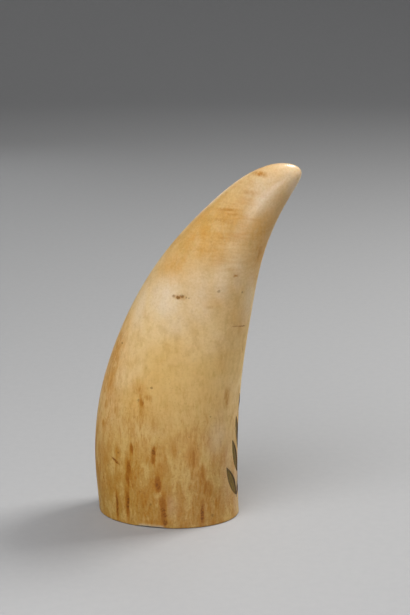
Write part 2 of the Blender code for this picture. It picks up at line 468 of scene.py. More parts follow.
PALE_ZONES_AND_PAINTED_LIGHT = (
    (-121, 88, 16, 15, 1),
    (-104, 82, 14, 12, 0.5),
    (-148, 84, 16, 7, 0.6),
    (-96, 127, 16, 14, 0.7),
    (-75, 133, 14, 12, 0.6),
    (-92, 90, 20, 13, 0.6),
    (-72, 94, 15, 9, 0.5),
    (-56, 97, 14, 7, 0.4),
    (-39, 34, 14, 9, 0.35),
    (-24, 20, 32, 8, 0.3),
    # Painted highlight: this pale zone brightens the lower right edge like a rim of light
    (-6, 12, 26, 7, 0.6),
    # Painted light: this pale zone brightens the right of the camera's side at mid height
    (-22, 86, 20, 8, 0.5),
    (-80, 9, 9, 5, 0.25),
)

# Cracks with a dark core: angle, height, length, width, strength and lean from upright in degrees
CRACKS = (
    (-114.1, 23.4, 6.5, 2, 0.85, -3),
    (-115.2, 18.4, 5.5, 1.4, 0.8, -8),
    (-117, 8.4, 12, 1.5, 1, 5),
    (-128.5, 6.6, 13, 1.3, 0.95, 0),
    (-111.7, 30.8, 4.2, 1.8, 0.75, -10),
    (-88, 10.2, 5, 1.8, 0.65, 0),
    (-86.9, 7.6, 2.8, 2.6, 0.95, 0),
    (-86.5, 5.4, 2.8, 2.9, 1, 0),
    (-86, 2.6, 4.4, 2.3, 0.95, 3),
    (-54.8, 5.2, 11, 1.7, 1, 2),
    (-93.4, 30.6, 4.8, 1.7, 0.95, 0),
    (-93.9, 27.2, 3.8, 1.4, 0.8, 0),
    (-89.7, 17.8, 7, 2.8, 0.9, 0),
    (-127.7, 24.9, 5.8, 1.25, 0.95, -62),
    (-144.5, 16.2, 2.4, 0.8, 0.7, -40),
    (-107.5, 48.9, 1.8, 1, 0.6, 0),
    (-25, 76.5, 5.5, 0.6, 0.9, 100),
    (-36, 77.3, 6, 0.5, 0.5, 98),
    (-30.5, 47.5, 3.5, 0.7, 0.4, 0),
    (-13.5, 67.2, 5, 0.8, 0.7, -8),
    (20, 6, 11, 0.8, 0.8, 2),
    (61, 5, 9, 0.8, 0.8, -3),
    (104, 7, 12, 0.9, 0.8, 2),
    (133, 4, 8, 0.7, 0.8, 0),
    (176, 8, 13, 0.9, 0.8, 3),
    (201, 5, 9, 0.7, 0.8, -2),
)

# Small pits: angle, height, width and strength
PITS = (
    (-109.4, 88.8, 1.8, 1),
    (-105.9, 89.3, 1.6, 1),
    (-114.4, 89.2, 1.3, 0.7),
    (-101.6, 89, 1, 0.6),
    (-98.6, 88.8, 0.8, 0.5),
    (-107.6, 89.4, 1.2, 0.6),
    (-103.1, 55.1, 1.2, 0.7),
    (-111.6, 49.9, 1.2, 0.6),
    (-150.6, 69, 1.2, 0.7),
    (-71.5, 91.4, 1.5, 0.6),
    (-39.6, 90, 1.1, 0.6),
    (-96.8, 9.5, 1.1, 0.7),
    (-45.1, 4.1, 1.4, 0.7),
    (-48.7, 43.6, 0.9, 0.6),
    (-136.8, 22.2, 1, 0.6),
    (-124.5, 28.4, 1.1, 0.7),
    (-66, 36.4, 0.8, 0.5),
)


def undulation(share, angle):
    """The slow unevenness of a hand-polished surface, in metres."""
    waves = (
        np.sin(3 * angle + 9 * share + 0.4)
        + np.sin(2 * angle - 21 * share + 1.1)
        + 0.6 * np.sin(5 * angle + 33 * share)
    )
    depth = UNDULATION_DEPTH * ramp(1 - share, 0.02, 0.2) * ramp(share, 0.0, 0.05)
    return depth * (waves / WAVES_SPAN - 0.5) - SKIN_INSET


class Relief:
    """Everything cut in the skin, as a lift along its normal."""

    def __init__(self):
        self.leaves = all_leaves()
        self.cracks = [Mark(*values) for values in CRACKS]
        self.pits = [Mark(angle, height, width, width, strength) for angle, height, width, strength in PITS]

    def lift(self, share, angle):
        """Metres above the smooth skin at places of it."""
        points = skin_points(share, angle)
        lift = undulation(share, angle)
        for leaf in self.leaves:
            lift = lift + leaf.lift_at(share, angle)
        for crack in self.cracks:
            lift = lift - CRACK_DEPTH * crack.amount(points)
        for pit in self.pits:
            lift = lift - PIT_DEPTH_SHARE * 2 * pit.half_width * pit.amount(points)
        return lift


def mesh_object(name, points, faces, material, attributes=None):
    """A mesh object with smooth shading and float values on its vertices."""
    mesh = bpy.data.meshes.new(name)
    mesh.vertices.add(len(points))
    mesh.vertices.foreach_set("co", np.asarray(points, np.float32).ravel())
    sizes = np.array([len(face) for face in faces])
    corners = np.concatenate([np.asarray(face) for face in faces]).astype(np.int32)
    mesh.loops.add(len(corners))
    mesh.loops.foreach_set("vertex_index", corners)
    mesh.polygons.add(len(faces))
    mesh.polygons.foreach_set("loop_start", (np.cumsum(sizes) - sizes).astype(np.int32))
    for key, values in (attributes or {}).items():
        layer = mesh.attributes.new(key, "FLOAT", "POINT")
        layer.data.foreach_set("value", np.asarray(values, np.float32).ravel())
    mesh.update(calc_edges=True)
    mesh.validate()
    mesh.shade_smooth()
    mesh.materials.append(material)
    made = bpy.data.objects.new(name, mesh)
    bpy.context.scene.collection.objects.link(made)
    return made


def surface_rows():
    """Shares of the skin's rings: close at the eased edge, even on the body, and closer towards the tip."""
    edge = share_at_height(EDGE_EASE * np.array(EDGE_STEPS))
    body = np.linspace(edge[-1], 1 - TIP_RUN, BODY_ROWS + 1)[1:]
    tip = 1 - TIP_RUN * (1 - np.linspace(0.0, 1.0, TIP_ROWS + 1)[1:-1]) ** 2
    return np.concatenate([edge, body, tip])


def surface_angles():
    """Angles of the columns, a little closer on the camera's side."""
    even = np.linspace(0.0, math.tau, COLUMNS, endpoint=False)
    return even - COLUMN_CROWDING * np.sin(even + math.pi / 2)


def chip_turn(angle):
    """How far around from the chip's middle an angle is, by the shorter way."""
    return (angle - CHIP_ANGLE + math.pi) % math.tau - math.pi


def chip_run(angle):
    """How far along the chip an angle is: -1 and 1 at its ends."""
    per_angle = lengths_at(2 * SLOPE_STEP, CHIP_ANGLE)[1]
    return chip_turn(angle) * per_angle / (CHIP_LENGTH / 2)


def chip_amount(angle, height):
    """How deep the chip reaches into the edge at a height above the base, in metres."""
    turn = chip_turn(angle)
    ragged = 1 + CHIP_RAGGEDNESS * np.sin(57 * turn) * np.cos(23 * turn)
    rest = 1 - chip_run(angle) ** 2 - (height / (CHIP_HEIGHT / 2)) ** 2
    return CHIP_REACH / 2 * np.sqrt(np.maximum(rest, 0.0)) * ragged


def chip_freshness_and_lip_highlight(chipped, angle, height):
    """How pale the ivory is made, from 0 to 1: fresh ivory in the chip, and on the lip above it a pale band
    that is both fresh ivory of a shallow flake and a painted highlight of a lit facet.
    """
    lip_highlight = ramp(1 - np.abs(chip_run(angle)), 0.15, 0.45) * (1 - ramp(height, *CHIP_LIP_HIGHLIGHT_RAMP))
    return np.maximum(ramp(chipped, *CHIP_FRESH_RAMP), lip_highlight)


def cavity_rings(angles):
    """Rings of the pulp cavity, from its mouth upwards."""
    rings = []
    for row in range(CAVITY_ROWS):
        deep = row / CAVITY_ROWS
        narrowing = (1 - deep) ** CAVITY_TAPER
        level = np.full(COLUMNS, float(share_at_height(CAVITY_DEPTH * deep)))
        width = (BASE_WIDTH / 2 - RIM_WALL) * narrowing
        depth = (BASE_DEPTH / 2 - RIM_WALL) * narrowing
        rings.append(oval_points(level, angles, width, depth))
    return rings


def closed_faces(count):
    """Faces between rings of points, closed by a fan to one more point at each end."""
    grid = np.arange(count * COLUMNS).reshape(count, COLUMNS)
    after = np.roll(grid, -1, axis=1)
    quads = np.stack([grid[:-1], after[:-1], after[1:], grid[1:]], axis=-1).reshape(-1, 4)
    first_end, last_end = np.full(COLUMNS, grid.size), np.full(COLUMNS, grid.size + 1)
    first_fan = np.stack([after[0], grid[0], first_end], axis=-1)
    last_fan = np.stack([grid[-1], after[-1], last_end], axis=-1)
    return [*quads, *first_fan, *last_fan]


def tooth_surface(relief, shift, material):
    """The whole tooth as one closed mesh."""
    angles = surface_angles()
    share, angle = np.meshgrid(surface_rows(), angles, indexing="ij")
    wrapped = (angle - LOWEST_ANGLE) % math.tau + LOWEST_ANGLE
    half_width, half_depth = half_sizes(share)
    height = spine_points(share)[1]
    close = np.clip(EDGE_EASE - height, 0.0, EDGE_EASE)
    inset = EDGE_EASE - np.sqrt(EDGE_EASE**2 - close**2)
    chipped = chip_amount(wrapped, height)
    skin = oval_points(share, angle, half_width - inset, half_depth - inset)
    lift = relief.lift(share, wrapped) * ramp(height, 0.0, RELIEF_START) - chipped
    skin = skin + skin_normals(share, angle) * lift[..., None]
    skin[0, :, 2] = 0.0
    skin[..., 2] = np.maximum(skin[..., 2], 0.0)

    cavity = cavity_rings(angles)
    rim = [skin[0] + (cavity[0] - skin[0]) * row / RIM_ROWS for row in range(1, RIM_ROWS)]
    rings = [*cavity[::-1], *rim[::-1], *skin]
    deepest = oval_points(share_at_height(CAVITY_DEPTH) * np.ones(1), np.zeros(1), 0.0, 0.0)
    apex = oval_points(np.ones(1), np.zeros(1), 0.0, 0.0)
    points = np.concatenate([np.concatenate(rings), deepest, apex]) + shift
    below = (len(cavity) + len(rim)) * COLUMNS

    def whole(on_skin, inside=0.0, at_apex=0.0):
        """Values for all the points in their order: cavity and rim, skin, cavity's top and apex."""
        return np.concatenate([np.full(below, inside), on_skin.ravel(), [inside, at_apex]])

    smooth_skin = skin_points(share, angle)
    cut = np.zeros(share.shape)
    for leaf in relief.leaves:
        cut = np.maximum(cut, ramp(-leaf.lift_at(share, wrapped) / LEAF_DEPTH, 0.4, 0.9))
    attributes = {
        "along": whole(share, at_apex=1.0),
        "cut": whole(cut),
        # Fresh ivory in the chip, and a painted highlight on the lip above it
        "chip": whole(chip_freshness_and_lip_highlight(chipped, wrapped, height)),
        "inside": whole(np.zeros(share.shape), inside=1.0),
    }
    # Stains, golden zones and paler zones as attributes of the skin; some golden and paler zones are
    # painted light
    for key, table in (("stain", STAINS), ("warm_and_painted_light", WARM_ZONES_AND_PAINTED_LIGHT), ("pale", PALE_ZONES_AND_PAINTED_LIGHT)):
        marks = [Mark(*values) for values in table]
        attributes[key] = whole(strongest(marks, smooth_skin))
    return mesh_object("tooth_surface", points, closed_faces(len(rings)), material, attributes)


class Strips:
    """Thin strips of pigment that lie on the skin, gathered in one mesh."""

    def __init__(self, relief, shift):
        self.relief = relief
        self.shift = shift
        self.points, self.faces, self.fade = [], [], []

    def add(self, share, angle, widths, fade=1.0):
        """One strip along places of the skin."""
        normals = skin_normals(share, angle)
        lift = self.relief.lift(share, angle) + PIGMENT_LIFT
        middle = skin_points(share, angle) + normals * lift[..., None]
        along = unit(np.gradient(middle, axis=0))
        aside = unit(np.cross(normals, along)) * (np.asarray(widths) / 2)[:, None]
        start = sum(len(block) for block in self.points)
        self.points.append(np.stack([middle - aside, middle + aside], axis=1).reshape(-1, 3))
        self.fade.append(np.full(len(share) * 2, fade))
        for i in range(len(share) - 1):
            low = start + 2 * i
            self.faces.append([low, low + 1, low + 3, low + 2])

    def finish(self, name, material):
        """The mesh object of all the strips."""
        points = np.concatenate(self.points) + self.shift
        return mesh_object(name, points, self.faces, material, {"fade": np.concatenate(self.fade)})


def leaf_pigment(relief, shift, material):
    """The colour rubbed in the cut leaves: a patch for each, over the leaf's floor and lower walls."""
    runs = np.linspace(LEAF_PATCH_END, 1 - LEAF_PATCH_END, LEAF_PATCH_ROWS)
    sides = np.linspace(-LEAF_PATCH_SIDE, LEAF_PATCH_SIDE, LEAF_PATCH_COLUMNS)
    run, across = np.meshgrid(runs, sides, indexing="ij")
    side = np.abs(across)
    raised = LEAF_PIGMENT_LIFT * (1 + ramp(side, 0.5, 0.9))
    outline = ramp(side, 0.55, 0.85)
    rib = 1 - ramp(side, 0.04, 0.2)
    ends = np.maximum(1 - ramp(run, 0.02, 0.16), ramp(run, 0.84, 0.98))
    ink = np.maximum(np.maximum(outline, 0.7 * rib), ends).ravel()
    grid = np.arange(run.size).reshape(run.shape)
    cells = np.stack([grid[:-1, :-1], grid[:-1, 1:], grid[1:, 1:], grid[1:, :-1]], axis=-1)
    random = np.random.default_rng(LEAF_TONE_SEED)

    points, faces, tones = [], [], []
    for number, leaf in enumerate(relief.leaves):
        share, angle = leaf.place(run, across)
        lift = np.minimum(leaf.lift(run, across) + raised, PIGMENT_LIFT) + undulation(share, angle)
        patch = skin_points(share, angle) + skin_normals(share, angle) * lift[..., None]
        points.append(patch.reshape(-1, 3))
        faces.extend(cells.reshape(-1, 4) + number * run.size)
        tones.append(np.full(run.size, random.uniform(0.0, 1.0)))
    attributes = {"ink": np.tile(ink, len(relief.leaves)), "tone": np.concatenate(tones)}
    return mesh_object("leaf_pigment", np.concatenate(points) + shift, faces, material, attributes)


def draw_stems(strips):
    """The stem of each spray, wider at its foot."""
    for mirrored in (False, True):
        progress = np.linspace(STEM_START, 1.0, STEM_STEPS)
        share, angle = stem_place(progress, mirrored)
        strips.add(share, angle, np.interp(progress, [0.0, 1.0], [STEM_FOOT_LINE, STEM_HEAD_LINE]))


def face_place(u, v):
    """Share and angle of a drawing's point: u to the viewer's right and v up, in millimetres."""
    share = share_at_height(SHIP_MIDDLE_HEIGHT + np.asarray(v, float) * MM)
    per_angle = lengths_at(float(share_at_height(SHIP_MIDDLE_HEIGHT)), FACE_CENTRE)[1]
    return share, FACE_CENTRE + np.asarray(u, float) * MM / per_angle


def draw_line(strips, corners, width=0.26, fade=1.0):
    """A drawn line through corners, thinner at its ends, all in millimetres on the engraved side."""
    corners = np.asarray(corners, float)
    steps = np.linalg.norm(np.diff(corners, axis=0), axis=1)
    run = np.concatenate([[0.0], np.cumsum(steps)])
    count = max(3, int(run[-1] / LINE_STEP_MM))
    places = np.linspace(0.0, run[-1], count)
    u, v = np.interp(places, run, corners[:, 0]), np.interp(places, run, corners[:, 1])
    share, angle = face_place(u, v)
    swell = np.sin(math.pi * np.linspace(0.03, 0.97, count)) ** 0.5
    strips.add(share, angle, width * MM * (LINE_END_SHARE + (1 - LINE_END_SHARE) * swell), fade)


def arc(start, end, bulge):
    """Points of a shallow arc between two points, bulged to its left by a length."""
    share = np.linspace(0.0, 1.0, ARC_STEPS)
    (x0, y0), (x1, y1) = start, end
    length = math.hypot(x1 - x0, y1 - y0)
    aside = bulge * 4 * share * (1 - share)
    x = x0 + (x1 - x0) * share - (y1 - y0) / length * aside
    y = y0 + (y1 - y0) * share + (x1 - x0) / length * aside
    return list(zip(x, y))


def draw_sail(strips, middle, low, high, half_low, half_high):
    """One square sail, with a bellied foot, its yard and two seams."""
    draw_line(strips, arc((middle - half_low, low), (middle + half_low, low), 0.5))
    for side in (-1, 1):
        foot, head = (middle + side * half_low, low), (middle + side * half_high, high)
        draw_line(strips, arc(foot, head, -0.25 * side))
    yard = [(middle - half_high - 0.5, high + 0.15), (middle + half_high + 0.5, high + 0.15)]
    draw_line(strips, yard, HULL_LINE_MM)
    for side in (-0.4, 0.4):
        seam = [(middle + side * half_low, low + 0.6), (middle + side * half_high, high - 0.3)]
        draw_line(strips, seam, width=0.16, fade=0.5)


def draw_hull(strips):
    """The hull, shaded with level lines, and the bowsprit."""
    stern, bow, stern_foot, bow_foot = (-9.6, 1.2), (10.4, 1.8), (-8.2, -2.6), (7.6, -2.6)
    outlines = (
        arc(stern, bow, -0.9),
        arc(stern_foot, bow_foot, -0.3),
        [stern, (-9.2, -0.6), stern_foot],
        arc(bow, bow_foot, 0.7),
    )
    for outline in outlines:
        draw_line(strips, outline, HULL_LINE_MM)
    for row in range(6):
        share = (row + 0.5) / 6
        left = -9.3 + 1.0 * share
        right = 9.8 - 2.0 * share
        level = 0.55 - 2.9 * share
        draw_line(strips, arc((left, level), (right, level + 0.3), -0.6 + 0.3 * share), width=0.3)
    draw_line(strips, [(10.2, 1.8), (14.2, 4.6)], HULL_LINE_MM)


def draw_mast(strips, middle, top, spread):
    """One mast with three square sails, two shrouds and a pennant."""
    draw_line(strips, [(middle, 0.9), (middle, top + 1.6)], MAST_LINE_MM)
    rise = (top - 3.2) / 3
    for step in range(3):
        low = 3.0 + step * rise
        half_low = spread * (1 - 0.18 * step)
        half_high = spread * (1 - 0.18 * (step + 1))
        draw_sail(strips, middle, low, low + rise * 0.82, half_low, half_high)
    for side in (-1, 1):
        foot = (middle + side * 1.9, 1.1)
        draw_line(strips, [foot, (middle, 3.0 + rise)], width=0.15, fade=0.6)
    pennant = [(middle, top + 1.6), (middle - 2.0, top + 1.2), (middle, top + 0.8)]
    draw_line(strips, pennant, width=0.2)


def draw_waves(strips):
    """Rows of short waves under the hull, shorter row by row."""
    for row in range(5):
        level = -3.6 - 1.15 * row
        reach = 12.0 - 1.1 * row
        waves = 7 - row
        for wave in range(waves):
            left = -reach + 2 * reach * wave / waves + 0.5 * (row % 2)
            crest = arc((left, level), (left + 1.7 * reach / waves, level), 0.45)
            draw_line(strips, crest, width=0.2, fade=0.8)


def draw_ship(strips):
    """A plain three-masted ship under square sails, seen from the side, over a few waves."""
    draw_hull(strips)
    for middle, top, spread in ((-5.6, 17.0, 2.1), (0.2, 21.5, 2.7), (5.8, 18.5, 2.3)):
        draw_mast(strips, middle, top, spread)
    for share in (0.0, 0.5, 1.0):
        low = (8.6 + 3.4 * share, 3.4 + 1.0 * share)
        draw_line(strips, [low, (6.2, 12.5 - 2.4 * share)], ROPE_LINE_MM)
    draw_line(strips, [(8.6, 3.4), (12.0, 4.4)], ROPE_LINE_MM)
    draw_line(strips, [(-7.4, 3.2), (-11.0, 4.2), (-9.8, 9.2), (-5.8, 8.4)], width=0.24)
    draw_waves(strips)


class Nodes:
    """A short way to build a material's nodes. Values are plain or outputs of other nodes."""

    def __init__(self, name):
        self.material = bpy.data.materials.new(name)
        self.material.use_nodes = True
        self.tree = self.material.node_tree
        self.shader = self.tree.nodes["Principled BSDF"]

    def link(self, source, target):
        """Links an output to an input, or sets the input to a plain value."""
        if isinstance(source, bpy.types.NodeSocket):
            self.tree.links.new(source, target)
        else:
            target.default_value = source

    def node(self, kind, values, **settings):
        """A new node with its settings and its inputs' values, by name or number."""
        node = self.tree.nodes.new("ShaderNode" + kind)
        for name, setting in settings.items():
            setattr(node, name, setting)
        for name, value in values.items():
            self.link(value, node.inputs[name])
        return node

    def attribute(self, name):
        """A float attribute of the mesh."""
        return self.node("Attribute", {}, attribute_name=name).outputs["Fac"]

    def place(self):
        """Object coordinates in metres."""
        return self.node("TexCoord", {}).outputs["Object"]

    def vectors(self, operation, first, second=(0.0, 0.0, 0.0)):
        """One step of arithmetic with vectors."""
        node = self.node("VectorMath", {0: first, 1: second}, operation=operation)
        return node.outputs["Value" if operation == "LENGTH" else "Vector"]

    def math(self, operation, first, second):
        """One step of arithmetic with numbers."""
        return self.node("Math", {0: first, 1: second}, operation=operation).outputs[0]

    def times(self, first, *others):
        """The product of several numbers."""
        for other in others:
            first = self.math("MULTIPLY", first, other)
        return first

    def rise(self, value, low, high, to_low=0.0, to_high=1.0):
        """A smooth map of a value from one range to another."""
        ends = {"From Min": low, "From Max": high, "To Min": to_low, "To Max": to_high}
        node = self.node("MapRange", {"Value": value, **ends}, interpolation_type="SMOOTHSTEP")
        return node.outputs["Result"]

    def noise(self, vector, scale, detail=3.0, roughness=0.55, output="Fac"):
        """Noise from 0 to 1."""
        values = {"Vector": vector, "Scale": scale, "Detail": detail, "Roughness": roughness}
        return self.node("TexNoise", values).outputs[output]

    def stretched_noise(self, vector, scales, detail, roughness=0.55):
        """Noise from 0 to 1, with a scale of its own along each axis."""
        mapped = self.node("Mapping", {"Vector": vector, "Scale": scales}, vector_type="POINT")
        return self.noise(mapped.outputs["Vector"], 1.0, detail, roughness)

    def shaken(self, vector, scale, reach):
        """A vector moved about by noise, by up to half a reach."""
        color = self.noise(vector, scale, 2.0, 0.5, "Color")
        away = self.vectors("SUBTRACT", color, (0.5, 0.5, 0.5))
        return self.vectors("ADD", vector, self.vectors("MULTIPLY", away, (reach, reach, reach)))

    def marks(self, vector, marks, shift):
        """How dark a place is made by the nearest of several marks, from 0 to 1."""
        most = 0.0
        for mark in marks:
            own = {
                "Vector": vector,
                "Location": Vector(mark.middle + shift),
                "Rotation": mark.turn(),
                "Scale": (mark.half_width, mark.half_length, MARK_THICKNESS),
            }
            near = self.node("Mapping", own, vector_type="TEXTURE").outputs["Vector"]
            near = self.rise(self.vectors("LENGTH", near), 1.05, 0.45, 0.0, mark.strength)
            most = self.math("MAXIMUM", most, near)
        return most

    def mix(self, amount, first, second, blend="MIX"):
        """Two colours mixed. The node's colour sockets are known by number."""
        values = {0: amount, 6: first, 7: second}
        return self.node("Mix", values, data_type="RGBA", blend_type=blend).outputs[2]

    def bump(self, height, distance, strength, **before):
        """A bump from a height from 0 to 1, over the Normal of another bump if one is given."""
        values = {"Height": height, "Distance": distance, "Strength": strength, **before}
        return self.node("Bump", values).outputs["Normal"]

    def put(self, **values):
        """Sets or links the shader's inputs, named with underscores for spaces."""
        for name, value in values.items():
            self.link(value, self.shader.inputs[name.replace("_", " ")])


def srgb(red, green, blue):
    """A shader colour from screen values of 0 to 255."""

    def linear(value):
        share = value / 255
        return share / 12.92 if share <= 0.04045 else ((share + 0.055) / 1.055) ** 2.4

    return (linear(red), linear(green), linear(blue), 1.0)


WHITE = srgb(255, 255, 255)
POWDER = srgb(243, 237, 226)
PALE_AND_HIGHLIGHT_CREAM = srgb(236, 217, 188)
TIP_CREAM = srgb(240, 208, 168)
CREAM = srgb(236, 207, 156)
IVORY = srgb(225, 187, 116)
STRAW = srgb(222, 190, 120)
GOLD_AND_PAINTED_LIGHT = srgb(220, 165, 80)
BAND_GOLD = srgb(200, 140, 50)
TAN = srgb(188, 142, 54)
AMBER = srgb(184, 122, 20)
BROWN = srgb(154, 92, 6)
CRACK_BROWN = srgb(158, 92, 0)
PIT_BROWN = srgb(124, 80, 0)
CUT_BROWN = srgb(88, 68, 34)
DIRT = srgb(92, 58, 0)
FRESH_IVORY_AND_LIP_HIGHLIGHT = (srgb(244, 230, 200), srgb(226, 204, 166))
SAWN_IVORY = (srgb(196, 160, 108), srgb(150, 112, 66))
LEAF_GREENS = (srgb(130, 98, 4), srgb(112, 90, 4))
LEAF_WORN = srgb(170, 138, 44)
LEAF_INK = srgb(84, 56, 0)
LINE_INK = (srgb(58, 42, 26), srgb(120, 96, 60))
FLOOR_GREYS = (srgb(172, 173, 175), srgb(178, 179, 180))


class Ivory:
    """Old polished ivory: growth bands above, upright streaks below, stains, cracks and bare places."""

    def __init__(self, relief, shift):
        n = self.nodes = Nodes("polished_ivory")
        self.relief, self.shift = relief, shift
        self.place, self.along = n.place(), n.attribute("along")
        self.broad = n.noise(self.place, 24.0)
        self.cloudy = n.noise(self.place, 85.0, detail=4.0)
        self.mottled = n.stretched_noise(self.place, (330.0, 330.0, 198.0), 4.0, 0.6)
        self.fine = n.noise(self.place, 1300.0)
        self.streaked = n.shaken(self.place, 90.0, 3.0 * MM)
        self.grain = n.stretched_noise(self.streaked, (980.0, 980.0, 170.0), 5.0, 0.68)
        self.wide_grain = n.stretched_noise(self.streaked, (300.0, 300.0, 100.0), 5.0, 0.65)
        self.color = n.mix(n.rise(self.broad, 0.34, 0.66), IVORY, CREAM)
        self.add_tan()
        self.add_bands()
        self.add_warmth()
        self.add_streaks()
        self.add_stains()
        self.add_specks()
        self.add_cracks_and_pits()
        self.add_bare_places()
        self.add_polish()

    def tint(self, color, *amounts):
        """Lays a colour over what is there, by the product of some amounts."""
        self.color = self.nodes.mix(self.nodes.times(*amounts), self.color, color)

    def add_tan(self):
        """Tan mottling, a darker tan towards the base that is partly the ivory's colour and partly painted
        shade, and tan clouds in the upper part.
        """
        n = self.nodes
        self.tint(TAN, n.rise(self.mottled, 0.42, 0.72, 0.0, 0.38))
        # Darker towards the base: browner ivory there, and painted shade for light that weakens downwards
        self.tint(TAN, n.rise(self.along, 0.44, 0.08), 0.85)
        self.tint(TAN, n.rise(self.along, 0.5, 0.72), n.rise(self.cloudy, 0.35, 0.68, 0.15, 0.55))

    def add_bands(self):
        """Level growth bands, in wider groups, that show most in the upper part."""
        n = self.nodes
        wavy = n.shaken(self.place, 50.0, 6.0 * MM)
        bands = n.rise(n.stretched_noise(wavy, (80.0, 80.0, 620.0), 6.0, 0.72), 0.42, 0.62)
        groups = n.rise(n.stretched_noise(wavy, (40.0, 40.0, 170.0), 3.0), 0.34, 0.62)
        high = n.rise(self.along, 0.62, 0.76, 0.12, 0.62)
        self.tint(BAND_GOLD, bands, groups, high, n.rise(self.cloudy, 0.34, 0.6, 0.45, 1.0))

    def add_warmth(self):
        """The golden zones, one of them painted light on the upper right of the camera's side, and a paler
        tip.
        """
        n = self.nodes
        clouds = n.rise(self.cloudy, 0.3, 0.58, 0.55, 1.0)
        streaks = n.rise(self.wide_grain, 0.38, 0.58, 0.5, 1.0)
        # Golden zones; the one on the upper right of the camera's side is painted light
        self.tint(GOLD_AND_PAINTED_LIGHT, n.attribute("warm_and_painted_light"), clouds, streaks, 0.95)
        self.tint(TIP_CREAM, n.rise(self.along, 0.88, 0.97, 0.0, 0.5))

    def add_streaks(self):
        """Upright streaks in the lower part: fine, wide and pale ones, and short dashes."""
        n = self.nodes
        clouds = n.rise(self.cloudy, 0.38, 0.6, 0.25, 1.0)
        groups = n.rise(self.broad, 0.42, 0.56, 0.35, 1.0)
        dashes = n.rise(n.stretched_noise(self.streaked, (820.0, 820.0, 260.0), 1.0), 0.57, 0.68)
        self.tint(AMBER, n.rise(self.grain, 0.48, 0.62), n.rise(self.along, 0.56, 0.16), clouds, 0.75)
        self.tint(AMBER, n.rise(self.wide_grain, 0.49, 0.62), n.rise(self.along, 0.48, 0.12), 0.5)
        self.tint(STRAW, n.rise(self.wide_grain, 0.49, 0.37), n.rise(self.along, 0.56, 0.2), 0.52)
        self.tint(AMBER, dashes, n.rise(self.along, 0.46, 0.34), groups, 0.45)

    def add_stains(self):
        """The paler zones, two of them painted light, and over them the stains, amber at their edges and
        brown within.
        """
        n = self.nodes
        # Paler zones, among them painted light and a painted highlight on the right of the camera's side
        self.tint(PALE_AND_HIGHLIGHT_CREAM, n.attribute("pale"), n.rise(self.mottled, 0.3, 0.6, 0.7, 1.0), 0.85)
        stain = n.times(n.attribute("stain"), n.rise(self.grain, 0.32, 0.6, 0.45, 1.1))
        self.tint(AMBER, n.rise(stain, 0.05, 0.7, 0.0, 0.85))
        self.tint(BROWN, n.rise(stain, 0.4, 1.0, 0.0, 0.7))

    def add_specks(self):
        """A fine powdering and brown specks, most of both near the base."""
        n = self.nodes
        near_base = n.rise(self.along, 0.08, 0.36, 1.0, 0.3)
        powdered = n.math("ADD", near_base, n.rise(self.along, 0.45, 0.62, 0.0, 0.35))
        powder = n.mix(n.times(n.rise(self.fine, 0.34, 0.66), powdered), WHITE, POWDER)
        self.color = n.mix(1.0, self.color, powder, "MULTIPLY")
        low = n.rise(self.along, 0.7, 0.1, 0.25, 1.0)
        self.tint(BROWN, n.rise(self.fine, 0.58, 0.76, 0.0, 0.35), low)

    def add_cracks_and_pits(self):
        """Cracks with a dark core and ragged edges, pits, and dirt on the walls of the cut leaves."""
        n = self.nodes
        ragged = n.shaken(n.shaken(self.place, 1600.0, 0.6 * MM), 420.0, 0.9 * MM)
        cracks = n.marks(ragged, self.relief.cracks, self.shift)
        cracks = n.times(cracks, n.rise(self.fine, 0.36, 0.56, 0.6, 1.0))
        self.tint(CRACK_BROWN, cracks)
        self.tint(DIRT, n.rise(cracks, 0.7, 1.0, 0.0, 0.5))
        pits = n.marks(n.shaken(self.place, 1300.0, 0.9 * MM), self.relief.pits, self.shift)
        self.tint(PIT_BROWN, pits, 0.8)
        self.tint(CUT_BROWN, n.attribute("cut"), 0.8)

    def add_bare_places(self):
        """Fresh ivory in the chip with a painted highlight on the lip above it, and sawn ivory on the rim
        and in the cavity.
        """
        n = self.nodes
        self.tint(n.mix(n.rise(self.cloudy, 0.3, 0.7), *FRESH_IVORY_AND_LIP_HIGHLIGHT), n.attribute("chip"))
        self.tint(n.mix(n.rise(self.mottled, 0.3, 0.7), *SAWN_IVORY), n.attribute("inside"))

    def add_polish(self):
        """The shader's values: best polished towards the tip and dull where the ivory is bare."""
        n = self.nodes
        polish = n.rise(self.along, 0.66, 0.82, 0.6, 0.4)
        polish = n.math("ADD", polish, n.rise(self.along, 0.91, 0.985, 0.0, -0.12))
        roughness = n.math("ADD", polish, n.rise(n.noise(self.place, 55.0), 0.3, 0.7, -0.03, 0.05))
        dull = n.math("MAXIMUM", n.attribute("inside"), n.times(n.attribute("chip"), 0.8))
        n.put(
            Base_Color=self.color,
            Roughness=n.math("ADD", roughness, n.times(dull, 0.35)),
            Normal=n.bump(self.fine, 0.02 * MM, 0.4, Normal=n.bump(self.grain, 0.05 * MM, 0.3)),
            IOR=1.4,
            Subsurface_Weight=0.2,
            Subsurface_Scale=1.0 * MM,
        )
        n.shader.inputs["Subsurface Radius"].default_value = (1.0, 0.55, 0.28)


def pigment_material():
    """Green-brown colour rubbed in the leaves, darker along their outlines and midribs."""
    n = Nodes("leaf_pigment_green")
    mottled = n.noise(n.place(), 900.0)
    green = n.mix(n.attribute("tone"), *LEAF_GREENS)
    worn = n.mix(n.rise(mottled, 0.45, 0.75, 0.0, 0.6), green, LEAF_WORN)
    color = n.mix(n.attribute("ink"), worn, LEAF_INK)
    n.put(Base_Color=color, Roughness=n.rise(mottled, 0.3, 0.7, 0.5, 0.65))
    n.put(Normal=n.bump(mottled, 0.04 * MM, 0.5))
    return n.material


